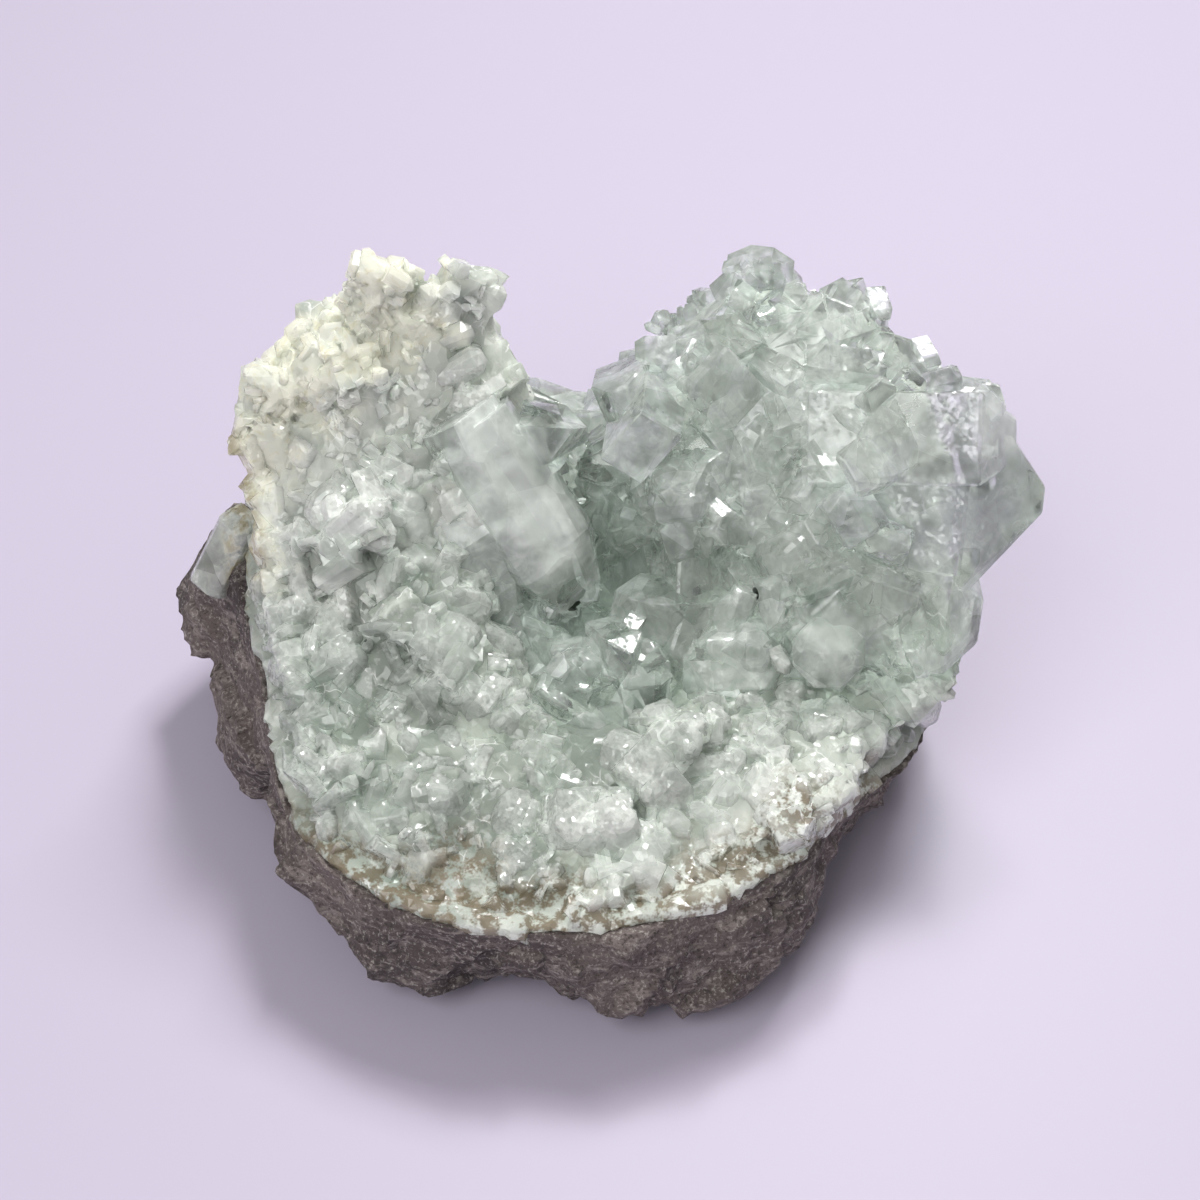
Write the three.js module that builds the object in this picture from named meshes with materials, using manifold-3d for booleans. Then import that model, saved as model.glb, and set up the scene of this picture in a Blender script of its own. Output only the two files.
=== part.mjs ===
// A broken celestite geode: a lumpy marl rind, a thick wall of massive celestite,
// and a crust of free-standing crystals that lines the hollow and stands on the right wall.
// Millimetres, +Z up. The origin is on the surface it rests on, under the middle of its box.
// +X is to the right of the open side, and -Y is the low front rim.

import * as THREE from "three";
import { ConvexGeometry } from "three/addons/geometries/ConvexGeometry.js";
import { mergeVertices } from "three/addons/utils/BufferGeometryUtils.js";
import Module from "manifold-3d";

const wasm = await Module();
wasm.setup();

// ---- Driving dimensions -------------------------------------------------

const HOLLOW_AXIS = new THREE.Vector2(0, 6); // the upright line that the rings go round
const FLAT_SPOT_CENTRE = new THREE.Vector2(0, 2);
const RIND_THICKNESS = 6;
const FLOOR_HEIGHT = 12; // lowest point of the hollow
const GAP = 0.35; // clearance between neighbouring solids
const LINING = 1.3; // thickness of the crust between its crystals
const STEPS_ROUND = 48;
const FACET_HEIGHT = 2.4; // height and breadth of the flat facets of broken celestite
const FACET_BREADTH = 7;
const MARL_LUMP_HEIGHT = 1.3; // and of the rind's rough lumps
const MARL_LUMP_BREADTH = 9;

// Bearings in degrees. The broken face runs from the left peak to the front rim's right
// end, and crystals cover the rest of the wall, from the right end round to the saddle.
const BROKEN_FACE = { from: 140, to: 325 };
const CRYSTAL_FACE = { from: 335, to: 125 };
const SADDLE_FROM = 90;

// Share of the wall's skin points that carry a ledge or a crystal.
const SHARES = { ledge: 0.17, hollow: 0.34, rightWall: 0.36, outside: 0.08 };

// The wall's radial section at 16 bearings, every 22.5 degrees from +X towards +Y.
// Each pair is [distance from the hollow's axis, height]. The foot is a radius alone.
// foot: edge of the flat spot; belly: widest part of the rind; seam: where rind meets
// celestite; brow: outer edge of the broken wall; crest: its top; lip: where the wall
// turns into the hollow.
const SECTIONS = [
  { foot: 15, belly: [30, 6], seam: [32.5, 11], brow: [34, 26], crest: [26, 33], lip: [10, 28] },
  { foot: 14, belly: [30, 8], seam: [32, 14], brow: [29.5, 36.5], crest: [21, 40], lip: [9, 32] },
  { foot: 14, belly: [31, 9], seam: [31, 18], brow: [25, 37.5], crest: [17, 42], lip: [9, 34] },
  { foot: 14, belly: [30, 9], seam: [29, 17], brow: [22.5, 27], crest: [15.5, 30.5], lip: [10, 26] },
  { foot: 14, belly: [28, 9], seam: [27, 15], brow: [24, 19.5], crest: [20, 20], lip: [14, 17] },
  { foot: 15, belly: [29, 9], seam: [28, 17], brow: [24, 21.5], crest: [18.5, 22], lip: [12.5, 19] },
  { foot: 15, belly: [33, 10], seam: [31, 22], brow: [24, 39], crest: [14.5, 44], lip: [8.5, 37] },
  { foot: 16, belly: [36, 12], seam: [30.5, 30], brow: [27.5, 41], crest: [20, 47], lip: [7.5, 36] },
  { foot: 17, belly: [37, 11], seam: [33, 25], brow: [31.5, 33], crest: [20, 38.5], lip: [7, 31] },
  { foot: 18, belly: [35, 8], seam: [33, 19], brow: [31, 24], crest: [19, 29], lip: [8.5, 25] },
  { foot: 19, belly: [38.5, 6.5], seam: [37.5, 14.5], brow: [32.5, 18.5], crest: [21, 23.5], lip: [12, 20] },
  { foot: 20, belly: [39, 5], seam: [38.5, 13.5], brow: [33, 16.5], crest: [20.5, 20.5], lip: [14, 17.5] },
  { foot: 21, belly: [39, 5], seam: [36.8, 13.5], brow: [31, 15.8], crest: [20, 19.5], lip: [15, 16.5] },
  { foot: 20, belly: [39, 5], seam: [35, 14], brow: [30, 16], crest: [20.5, 19], lip: [13, 16.5] },
  { foot: 17, belly: [30.5, 7], seam: [31.5, 12.5], brow: [31, 16.5], crest: [22.5, 19.5], lip: [11.5, 17] },
  { foot: 15, belly: [29, 5], seam: [32.5, 10], brow: [33.5, 18], crest: [24.5, 22], lip: [10.5, 20] },
];

// Local swellings and hollows of the rind: centre, reach, and push away from the axis.
const RIND_LUMPS = [
  { at: [-38, 11, 14], reach: 7.5, push: 5 },
  { at: [-35, -5, 8], reach: 5.5, push: 2.8 },
  { at: [-31, -11, 9], reach: 4, push: -2 },
  { at: [-7, -31, 3], reach: 5, push: -4.5 },
  { at: [20, 26, 9], reach: 9, push: 2.5 },
  { at: [-20, 28, 8], reach: 9, push: 2.5 },
];

// ---- Small tools ----------------------------------------------------------

// A repeatable value from 0 to 1 for a whole number and a channel.
function chance(index, channel) {
  const mixed = Math.sin(index * 127.1 + channel * 311.7) * 43758.5453;
  return mixed - Math.floor(mixed);
}

// A smooth uneven height of about -1 to 1 over space, with waves of the given length.
function unevenness(point, wave, channel) {
  const { x, y, z } = point.clone().divideScalar(wave);
  return (
    (Math.sin(2.1 * x + 1.3 * y + channel) +
      Math.sin(2.7 * y - 1.7 * z + 2.3 * channel) +
      Math.sin(3.1 * z + 1.9 * x - 1.1 * channel)) /
    2.2
  );
}

// Distance above or below a patchwork of tilted flat facets, as a cleaved surface has.
function cleavage(point, cell, channel) {
  const grid = point.clone().divideScalar(cell);
  const home = grid.clone().floor();
  let nearest = Infinity;
  let height = 0;
  for (let i = 0; i < 27; i++) {
    const corner = home.clone().add(
      new THREE.Vector3((i % 3) - 1, (Math.floor(i / 3) % 3) - 1, Math.floor(i / 9) - 1),
    );
    const key = corner.x * 157 + corner.y * 113 + corner.z * 71 + channel;
    const seed = corner.clone().add(new THREE.Vector3(chance(key, 1), chance(key, 2), chance(key, 3)));
    const offset = grid.clone().sub(seed);
    if (offset.lengthSq() < nearest) {
      nearest = offset.lengthSq();
      const tilt = new THREE.Vector3(chance(key, 4) - 0.5, chance(key, 5) - 0.5, chance(key, 6) - 0.5);
      height = offset.dot(tilt) * 1.6 + chance(key, 7) - 0.5;
    }
  }
  return height;
}

// The closed ring through one named pair of every section, as a curve in space.
function ringOf(pairOf) {
  const points = SECTIONS.map((section, i) => {
    const bearing = (i / SECTIONS.length) * Math.PI * 2;
    const [distance, height] = pairOf(section);
    return new THREE.Vector3(
      HOLLOW_AXIS.x + distance * Math.cos(bearing),
      HOLLOW_AXIS.y + distance * Math.sin(bearing),
      height,
    );
  });
  return new THREE.CatmullRomCurve3(points, true);
}

// STEPS_ROUND points along a ring, or along the line between two rings at a given share.
function row(ring, other = ring, share = 0) {
  return Array.from({ length: STEPS_ROUND }, (_, i) =>
    ring.getPoint(i / STEPS_ROUND).lerp(other.getPoint(i / STEPS_ROUND), share),
  );
}

// Pushes each point of a row away from the hollow's axis and up, by the given rule.
function roughened(points, rule, rise = 0.5) {
  return points.map((p) => {
    const out = new THREE.Vector3(p.x - HOLLOW_AXIS.x, p.y - HOLLOW_AXIS.y, 0).normalize();
    out.z = rise;
    return p.clone().addScaledVector(out, rule(p));
  });
}

// A closed skin over rows of points, from a tip below to a tip above.
function closedSkin(lowTip, rows, highTip) {
  const points = [lowTip, ...rows.flat(), highTip];
  const last = points.length - 1;
  const index = [];
  const at = (r, i) => 1 + r * STEPS_ROUND + (i % STEPS_ROUND);
  for (let i = 0; i < STEPS_ROUND; i++) {
    index.push(0, at(0, i + 1), at(0, i));
    index.push(last, at(rows.length - 1, i), at(rows.length - 1, i + 1));
    for (let r = 0; r + 1 < rows.length; r++) {
      index.push(at(r, i), at(r, i + 1), at(r + 1, i + 1));
      index.push(at(r, i), at(r + 1, i + 1), at(r + 1, i));
    }
  }
  return new THREE.BufferGeometry().setFromPoints(points).setIndex(index);
}

// The place and outward normal of every point of a skin.
function pointsOf(skin) {
  const copy = skin.clone();
  copy.computeVertexNormals();
  return Array.from({ length: copy.attributes.position.count }, (_, i) => ({
    place: new THREE.Vector3().fromBufferAttribute(copy.attributes.position, i),
    normal: new THREE.Vector3().fromBufferAttribute(copy.attributes.normal, i),
  }));
}

// A copy of a skin with every point moved along its normal, by a distance or a rule.
function grown(skin, distance) {
  const copy = skin.clone();
  pointsOf(skin).forEach(({ place, normal }, i) => {
    const move = typeof distance === "number" ? distance : distance(i);
    place.addScaledVector(normal, move);
    copy.attributes.position.setXYZ(i, place.x, place.y, place.z);
  });
  return copy;
}

function solidOf(geometry) {
  const bare = geometry.clone();
  bare.deleteAttribute("normal");
  bare.deleteAttribute("uv");
  const merged = mergeVertices(bare, 1e-4);
  return new wasm.Manifold(
    new wasm.Mesh({
      numProp: 3,
      vertProperties: merged.attributes.position.array,
      triVerts: new Uint32Array(merged.index.array),
    }),
  );
}

// The largest connected body of a solid, with any pocket inside it filled.
function largestBody(solid) {
  const bodies = solid.decompose();
  return bodies.reduce((best, body) => (body.volume() > best.volume() ? body : best));
}

// A skin's solid with room round it: grown by the gap, and nudged every way so that
// sharp creases get some of it too.
function withRoom(skin) {
  const nudge = GAP * 0.4;
  const solid = solidOf(skin);
  let roomy = solidOf(grown(skin, GAP));
  for (const along of [[nudge, 0, 0], [0, nudge, 0], [0, 0, nudge]]) {
    const back = along.map((distance) => -distance);
    roomy = roomy.add(solid.translate(along)).add(solid.translate(back));
  }
  return roomy;
}

function geometryOf(solid) {
  const { vertProperties, triVerts } = solid.getMesh();
  const geometry = new THREE.BufferGeometry();
  geometry.setAttribute("position", new THREE.BufferAttribute(vertProperties, 3));
  geometry.setIndex(new THREE.BufferAttribute(triVerts, 1));
  return geometry;
}

// ---- One crystal ----------------------------------------------------------

// A tabular crystal with a chisel end, standing on the origin along +Z with its broad
// face towards +Y and its root sunk below. Its corners are bevelled where bevel is above 0.
function crystalGeometry({ length, width, thickness, root = 3, slope = 0.35, ridge = 0.45, bevel = 0 }) {
  const w = width / 2;
  const t = thickness / 2;
  const quarter = bevel > 0 ? [[w, t * (1 - bevel)], [w * (1 - bevel), t]] : [[w, t]];
  const half = [...quarter, ...quarter.map(([x, y]) => [-x, y])];
  const outline = [...half, ...half.map(([x, y]) => [-x, -y])];
  const points = outline.flatMap(([x, y]) => [
    new THREE.Vector3(x, y, -root),
    new THREE.Vector3(x, y, length * (1 - slope)),
  ]);
  points.push(new THREE.Vector3(w * ridge, 0, length), new THREE.Vector3(-w * ridge, 0, length));
  return new ConvexGeometry(points);
}

// A crystal that stands at a point, along one direction, with its broad face towards another.
function placedCrystal({ at, along, facing, ...size }) {
  const up = new THREE.Vector3(...along).normalize();
  const side = new THREE.Vector3().crossVectors(new THREE.Vector3(...facing), up).normalize();
  const face = new THREE.Vector3().crossVectors(up, side);
  const turn = new THREE.Matrix4().makeBasis(side, face, up);
  return crystalGeometry(size).applyMatrix4(turn).translate(...at);
}

// ---- The rings that every skin uses ---------------------------------------

const belly = ringOf((s) => s.belly);
const seam = ringOf((s) => s.seam);
const brow = ringOf((s) => s.brow);
const crest = ringOf((s) => s.crest);
const lip = ringOf((s) => s.lip);
const deepWall = ringOf((s) => [s.lip[0] * 0.8, FLOOR_HEIGHT + 0.42 * (s.lip[1] - FLOOR_HEIGHT)]);
const floorEdge = ringOf((s) => [s.lip[0] * 0.45, FLOOR_HEIGHT + 1]);
const floorCentre = new THREE.Vector3(HOLLOW_AXIS.x, HOLLOW_AXIS.y, FLOOR_HEIGHT);

// ---- Celestite wall -------------------------------------------------------

const brokenFace = (p) => FACET_HEIGHT * cleavage(p, FACET_BREADTH, 3) + 0.5 * unevenness(p, 5, 2);
const hollowFace = (p) => 0.8 * unevenness(p, 5, 4);

// The rows of the wall's skin, from its underside up over the rim and down into the hollow.
const WALL_ROWS = { flank: 4, brow: 5, crest: 8, lip: 11, deep: 12 };

function wallSkin() {
  const inset = RIND_THICKNESS;
  const sole = ringOf((s) => [s.foot - 4, inset]);
  const haunch = ringOf((s) => [s.belly[0] - inset, s.belly[1] * 0.6 + inset * 0.9]);
  const shoulder = ringOf((s) => [s.seam[0] - 2.6, s.seam[1] - 1.6]);
  const edge = ringOf((s) => [s.seam[0] - 0.9, s.seam[1]]);
  return closedSkin(
    new THREE.Vector3(HOLLOW_AXIS.x, HOLLOW_AXIS.y, inset),
    [
      row(sole),
      row(haunch),
      row(shoulder),
      row(edge),
      roughened(row(edge, brow, 0.5), brokenFace),
      roughened(row(brow), brokenFace),
      roughened(row(brow, crest, 0.33), brokenFace),
      roughened(row(brow, crest, 0.67), brokenFace),
      roughened(row(crest), brokenFace),
      roughened(row(crest, lip, 0.33), brokenFace),
      roughened(row(crest, lip, 0.67), brokenFace),
      roughened(row(lip), hollowFace),
      roughened(row(deepWall), hollowFace),
      row(floorEdge),
    ],
    floorCentre,
  );
}

// Row and bearing of a numbered point of the wall's skin.
function whereOnWall(i) {
  const rowNumber = Math.floor((i - 1) / STEPS_ROUND);
  const bearing = (((i - 1) % STEPS_ROUND) * 360) / STEPS_ROUND;
  return { rowNumber, bearing };
}

// The slabs and ledges that the break left standing on the left wall and the front rim,
// each larger by the given room.
function ledges(skin, room) {
  return pointsOf(skin).flatMap(({ place, normal }, i) => {
    const { rowNumber, bearing } = whereOnWall(i);
    const onBrokenFace = rowNumber >= WALL_ROWS.brow && rowNumber < WALL_ROWS.lip;
    const inRange = bearing > BROKEN_FACE.from && bearing < BROKEN_FACE.to;
    if (!onBrokenFace || !inRange || chance(i, 31) > SHARES.ledge) return [];
    const lean = new THREE.Vector3(chance(i, 32) - 0.5, chance(i, 33) - 0.5, chance(i, 34) - 0.5);
    return placedCrystal({
      at: place.toArray(),
      along: normal.clone().addScaledVector(lean, 0.8).toArray(),
      facing: [chance(i, 36) - 0.5, chance(i, 37) - 0.5, chance(i, 38) - 0.5],
      length: 0.8 + 1.5 * chance(i, 35) + room,
      width: 4.5 + 4 * chance(i, 39) + 2 * room,
      thickness: 3 + 3 * chance(i, 40) + 2 * room,
      slope: 0.4 * chance(i, 41),
      ridge: 0.5 + 0.4 * chance(i, 42),
    });
  });
}

const joined = (solid, geometries) => geometries.reduce((sum, piece) => sum.add(solidOf(piece)), solid);

// ---- Marl rind ------------------------------------------------------------

function lumpPush(p) {
  let push = 0.7 * unevenness(p, 6, 1) + MARL_LUMP_HEIGHT * cleavage(p, MARL_LUMP_BREADTH, 5);
  for (const lump of RIND_LUMPS) {
    const share = p.distanceTo(new THREE.Vector3(...lump.at)) / lump.reach;
    push += lump.push * Math.exp(-(share ** 4));
  }
  return push;
}

// The flat spot that it rests on, a round outline about its own centre.
function flatSpot(share) {
  const ring = ringOf((s) => [s.foot * share, 0]);
  const shift = FLAT_SPOT_CENTRE.clone().sub(HOLLOW_AXIS);
  return row(ring).map((p) => p.add(new THREE.Vector3(shift.x, shift.y, 0)));
}

// The rind's outside, closed over the top by a lid that runs inside the wall.
function rindSkin() {
  const undercut = ringOf((s) => [s.foot * 0.45 + s.belly[0] * 0.55 + 1.5, s.belly[1] * 0.22]);
  const flank = ringOf((s) => [s.foot * 0.12 + s.belly[0] * 0.88 + 1, s.belly[1] * 0.6]);
  const lidEdge = ringOf((s) => [s.seam[0] - 2.2, s.seam[1] - 0.9]);
  return closedSkin(
    new THREE.Vector3(FLAT_SPOT_CENTRE.x, FLAT_SPOT_CENTRE.y, 0),
    [
      flatSpot(0.5),
      flatSpot(1),
      roughened(row(undercut), (p) => 0.7 * lumpPush(p), 0),
      roughened(row(flank), lumpPush, 0.1),
      roughened(row(belly), lumpPush, 0.1),
      roughened(row(belly, seam, 0.5), lumpPush, 0),
      roughened(row(seam), (p) => 0.4 * lumpPush(p), 0),
      row(lidEdge),
      row(ringOf((s) => [s.foot * 0.5, FLOOR_HEIGHT - 3])),
    ],
    new THREE.Vector3(HOLLOW_AXIS.x, HOLLOW_AXIS.y, FLOOR_HEIGHT - 3),
  );
}

// ---- Crystal crust --------------------------------------------------------

// The crystals large enough to be known one by one.
const OUT_OF_HOLLOW = [0, -0.7, 0.7];
const HERO_CRYSTALS = [
  // The long pale blade that lies from the left wall over the hollow.
  {
    at: [-12.5, 11, 31], along: [10.4, -9, -10], facing: [-0.35, -0.5, 0.75],
    length: 18, width: 9, thickness: 8, slope: 0.25, ridge: 0.3, bevel: 0.5,
  },
  {
    at: [-15, 8, 30], along: [9, -11, -9], facing: [-0.2, -0.6, 0.8],
    length: 12, width: 11, thickness: 7,
  },
  // The great square-cornered block at the far right, with a plate broken off along its top.
  {
    at: [24, 7.5, 29.5], along: [1, -0.2, 0.05], facing: [0.05, -0.8, 0.6],
    length: 15.8, width: 19, thickness: 10, root: 7, slope: 0.42, ridge: 0.12, bevel: 0.25,
  },
  {
    at: [25, 9, 33.5], along: [1, -0.15, 0.12], facing: [0.1, -0.75, 0.65],
    length: 12, width: 8, thickness: 10.5, root: 6, slope: 0.25,
  },
  // The broad smooth mass that bulges below it, and the stumps at its foot.
  {
    at: [24, 2, 20], along: [0.2, -0.6, 0.75], facing: [0.3, 0.7, 0.6],
    length: 8.8, width: 15, thickness: 13, slope: 0.35, ridge: 0.5, bevel: 0.5,
  },
  {
    at: [28, 0, 21], along: [0.9, -0.35, 0.1], facing: [0, -0.8, 0.5],
    length: 6.5, width: 9, thickness: 9, root: 6, slope: 0.3,
  },
  {
    at: [27, -2.5, 15.5], along: [0.55, -0.5, 0.6], facing: [0, -0.6, 0.8],
    length: 5, width: 9, thickness: 6,
  },
  // The stub with a striated round end, and the rounded grey crystal beside it.
  {
    at: [20, -1, 17], along: OUT_OF_HOLLOW, facing: [0, 1, 1],
    length: 6.5, width: 7, thickness: 6.5, slope: 0.08, ridge: 0.8, bevel: 0.6,
  },
  {
    at: [11.5, -1, 17.5], along: [0.1, -0.95, 0.25], facing: [0, 0.3, 1],
    length: 8, width: 9, thickness: 7, ridge: 0.5, bevel: 0.5,
  },
  // The cluster that stands in the middle, rooted in the right wall.
  {
    at: [9, 13, 20], along: [-0.35, -0.05, 0.9], facing: OUT_OF_HOLLOW,
    length: 10, width: 9, thickness: 6,
  },
  {
    at: [12, 5, 19], along: [-0.55, -0.5, 0.65], facing: [0.2, -0.6, 0.7],
    length: 9, width: 10, thickness: 7,
  },
  {
    at: [11, 0, 17], along: [-0.5, -0.45, 0.6], facing: [-0.6, -0.4, 0.6],
    length: 7.5, width: 9, thickness: 8,
  },
  {
    at: [15, 10, 26], along: [-0.5, -0.45, 0.7], facing: [0.7, -0.6, 0.3],
    length: 7.5, width: 8, thickness: 5.5,
  },
  {
    at: [17.5, 4, 23], along: [-0.2, -0.7, 0.7], facing: [0.9, 0.1, 0.2],
    length: 6.5, width: 8, thickness: 5,
  },
  // The clear crystals along the top of the right wall.
  {
    at: [11.5, 16, 33], along: [-0.6, 0.1, 0.6], facing: [0.2, -0.8, 0.5],
    length: 5, width: 7, thickness: 5,
  },
  {
    at: [15, 17, 37], along: [-0.1, 0.15, 0.95], facing: [0.3, -0.9, 0.2],
    length: 6, width: 6.5, thickness: 5,
  },
  {
    at: [20.5, 16, 37.5], along: [0.15, 0.1, 0.95], facing: [-0.4, -0.8, 0.3],
    length: 5.5, width: 6, thickness: 4.5,
  },
  {
    at: [24.5, 15, 35.5], along: [0.5, 0.1, 0.8], facing: [0.5, -0.8, 0.3],
    length: 5, width: 5.5, thickness: 4.5,
  },
  // The dark tablets on the low back wall.
  {
    at: [6, 25, 16], along: [0.1, -0.2, 0.95], facing: [0.1, -0.9, 0.2],
    length: 8, width: 12, thickness: 6, slope: 0.15, ridge: 0.7,
  },
  {
    at: [-1.5, 25, 17], along: [-0.15, -0.15, 0.95], facing: [-0.2, -0.9, 0.2],
    length: 7, width: 6.5, thickness: 5,
  },
  {
    at: [-6, 19, 17], along: [0.15, -0.25, 0.9], facing: [0.4, -0.8, 0.2],
    length: 8.5, width: 7, thickness: 5, ridge: 0.1,
  },
];

// Where the crust covers the wall: the whole hollow, and from the right wall round to the
// back all the broken face too, down to the flank.
function underCrust(rowNumber, bearing) {
  const rightAndBack = bearing > CRYSTAL_FACE.from || bearing < CRYSTAL_FACE.to;
  const lowest = bearing > CRYSTAL_FACE.from ? WALL_ROWS.brow + 1 : WALL_ROWS.flank;
  return rowNumber >= WALL_ROWS.lip || (rightAndBack && rowNumber >= lowest);
}

// The share of the wall's points that carry a crystal: dense in the hollow and on the
// right wall, thinner outside, and none where the wall is bare.
function crystalShare(rowNumber, bearing) {
  if (rowNumber > WALL_ROWS.deep || !underCrust(rowNumber, bearing)) return 0;
  if (rowNumber >= WALL_ROWS.lip) return SHARES.hollow;
  const onSaddle = bearing > SADDLE_FROM && bearing < CRYSTAL_FACE.to;
  return rowNumber > WALL_ROWS.brow && !onSaddle ? SHARES.rightWall : SHARES.outside;
}

// The many crystals between the large ones.
function scatteredCrystals(skin) {
  const focus = new THREE.Vector3(2, 2, 42);
  return pointsOf(skin).flatMap(({ place, normal }, i) => {
    const { rowNumber, bearing } = whereOnWall(i);
    if (chance(i, 11) > crystalShare(rowNumber, bearing)) return [];
    const inHollow = rowNumber >= WALL_ROWS.lip;
    const lean = new THREE.Vector3(chance(i, 12) - 0.5, chance(i, 13) - 0.5, chance(i, 14) - 0.5);
    const along = normal.clone().addScaledVector(lean, 1.1);
    if (inHollow) along.addScaledVector(focus.clone().sub(place).normalize(), 0.5);
    const size = (inHollow ? 1.15 : 0.8) + 0.5 * chance(i, 15);
    return {
      at: place.toArray(),
      along: along.toArray(),
      facing: [chance(i, 16) - 0.5, chance(i, 17) - 0.5, chance(i, 18) - 0.5],
      length: 4 * size,
      width: (3.4 + 2 * chance(i, 19)) * size,
      thickness: (2.2 + 1.4 * chance(i, 20)) * size,
      root: 2,
      slope: 0.2 + 0.3 * chance(i, 21),
      ridge: 0.2 + 0.6 * chance(i, 22),
    };
  });
}

// ---- Assembly -------------------------------------------------------------

const wallGeometry = wallSkin();
const wall = largestBody(joined(solidOf(wallGeometry), ledges(wallGeometry, 0)));
const roomForWall = joined(withRoom(wallGeometry), ledges(wallGeometry, GAP));
const rindGeometry = rindSkin();
const rind = solidOf(rindGeometry).subtract(roomForWall);

// The lining and every crystal, joined, and kept clear of the wall and the rind.
function crustSolid() {
  const lining = grown(wallGeometry, (i) => {
    const { rowNumber, bearing } = whereOnWall(i);
    return underCrust(rowNumber, bearing) ? GAP + LINING : -1;
  });
  const crystals = [...HERO_CRYSTALS, ...scatteredCrystals(wallGeometry)].map(placedCrystal);
  const crust = joined(solidOf(lining), crystals);
  return largestBody(crust.subtract(roomForWall).subtract(withRoom(rindGeometry)));
}

const geode = new THREE.Group();

function addNode(name, solid, color, roughness) {
  const material = new THREE.MeshStandardMaterial({ color, roughness, metalness: 0, flatShading: true });
  const mesh = new THREE.Mesh(geometryOf(solid), material);
  mesh.name = name;
  geode.add(mesh);
}

addNode("matrix_rind", rind, 0x8f8374, 0.95);
addNode("celestite_wall", wall, 0xd3d8cf, 0.35);
addNode("crystal_crust", crustSolid(), 0xb4c4bf, 0.1);

// The origin goes to the middle of the box's underside.
const middle = new THREE.Box3().setFromObject(geode).getCenter(new THREE.Vector3());
geode.position.set(-middle.x, -middle.y, 0);

export default geode;
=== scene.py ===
# %% [markdown]
# # A broken celestite geode
# A lumpy marl rind carries a thick wall of milky celestite, and clear crystals line the
# hollow and cover the right peak. The solids that the frame holds give every form its
# place. Here each of them gets a finer piece that stands for it, and small crystals.

import math

import bpy
import numpy as np
from mathutils import Matrix, Vector
from mathutils.bvhtree import BVHTree
from mathutils.kdtree import KDTree


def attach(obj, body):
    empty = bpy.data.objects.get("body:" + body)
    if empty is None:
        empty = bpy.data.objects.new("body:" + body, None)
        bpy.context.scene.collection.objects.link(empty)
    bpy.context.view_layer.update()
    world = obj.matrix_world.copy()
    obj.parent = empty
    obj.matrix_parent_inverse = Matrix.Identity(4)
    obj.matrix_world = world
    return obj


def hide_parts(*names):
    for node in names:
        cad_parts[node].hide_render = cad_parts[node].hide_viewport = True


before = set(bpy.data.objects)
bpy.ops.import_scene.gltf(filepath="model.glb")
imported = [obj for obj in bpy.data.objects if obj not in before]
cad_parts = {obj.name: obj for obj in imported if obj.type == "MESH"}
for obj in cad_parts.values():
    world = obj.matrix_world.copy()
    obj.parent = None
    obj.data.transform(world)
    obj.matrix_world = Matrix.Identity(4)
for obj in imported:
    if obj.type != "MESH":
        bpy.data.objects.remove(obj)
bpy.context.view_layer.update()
MM = 0.001
FOOT = Vector((0.8, -1.2, 0))
print("solids:", sorted(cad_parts))

# %% [markdown]
# ## Camera, floor and light
# The geode stands on a plain pale floor and is seen from half way up, a hand's length
# away. A camera could look level, but the hollow is only seen from above. The light is a
# wide soft panel up on the right, with a small hard one whose mirror image makes the
# glints on the crystal faces.

# %% Camera
SENSOR_WIDTH = 36
VIEW_CENTRE = Vector((0.8, -1.2, 22.0)) * MM
VIEW_DISTANCE = 200 * MM
VIEW_ELEVATION = math.radians(45)
VIEW_LENS = 66.36

towards_camera = Vector((0, -math.cos(VIEW_ELEVATION), math.sin(VIEW_ELEVATION)))
camera = bpy.data.objects.new("camera", bpy.data.cameras.new("camera"))
camera.data.lens = VIEW_LENS
camera.data.sensor_width = SENSOR_WIDTH
camera.data.clip_start = 0.01
camera.location = VIEW_CENTRE + towards_camera * VIEW_DISTANCE
camera.rotation_euler = (-towards_camera).to_track_quat("-Z", "Y").to_euler()
bpy.context.scene.collection.objects.link(camera)
bpy.context.scene.camera = camera
print("camera at", [round(c / MM, 1) for c in camera.location], "mm")

# %% Lights and world
def add_panel(name, place, size, energy):
    """A square light at a place in millimetres, aimed at the geode."""
    light = bpy.data.lights.new(name, "AREA")
    light.size = size * MM
    light.energy = energy
    panel = bpy.data.objects.new(name, light)
    panel.location = Vector(place) * MM
    aim = VIEW_CENTRE - panel.location
    panel.rotation_euler = aim.to_track_quat("-Z", "Y").to_euler()
    bpy.context.scene.collection.objects.link(panel)


add_panel("soft_panel", (110, 240, 430), 160, 1.42)
add_panel("glint_panel", (50, 250, 420), 60, 0.45)
add_panel("fill_panel", (-200, -260, 380), 300, 1.06)

world = bpy.data.worlds.new("room")
world.use_nodes = True
world.node_tree.nodes["Background"].inputs["Color"].default_value = (0.90, 0.89, 0.87, 1)
world.node_tree.nodes["Background"].inputs["Strength"].default_value = 0.31
bpy.context.scene.world = world
bpy.context.scene.view_settings.view_transform = "Standard"
cycles = bpy.context.scene.cycles
cycles.max_bounces = 6
cycles.transmission_bounces = 4
cycles.diffuse_bounces = 1
cycles.glossy_bounces = 2
cycles.adaptive_threshold = 0.3
cycles.use_light_tree = False

# %% [markdown]
# ## Shader maths
# Colours and roughness vary over the stone by noise. Node by node that is long to write,
# so one small class wraps a socket: adding or multiplying two of them adds a Math node.

# %% The socket class
CELESTITE_INDEX = 1.62


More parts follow.
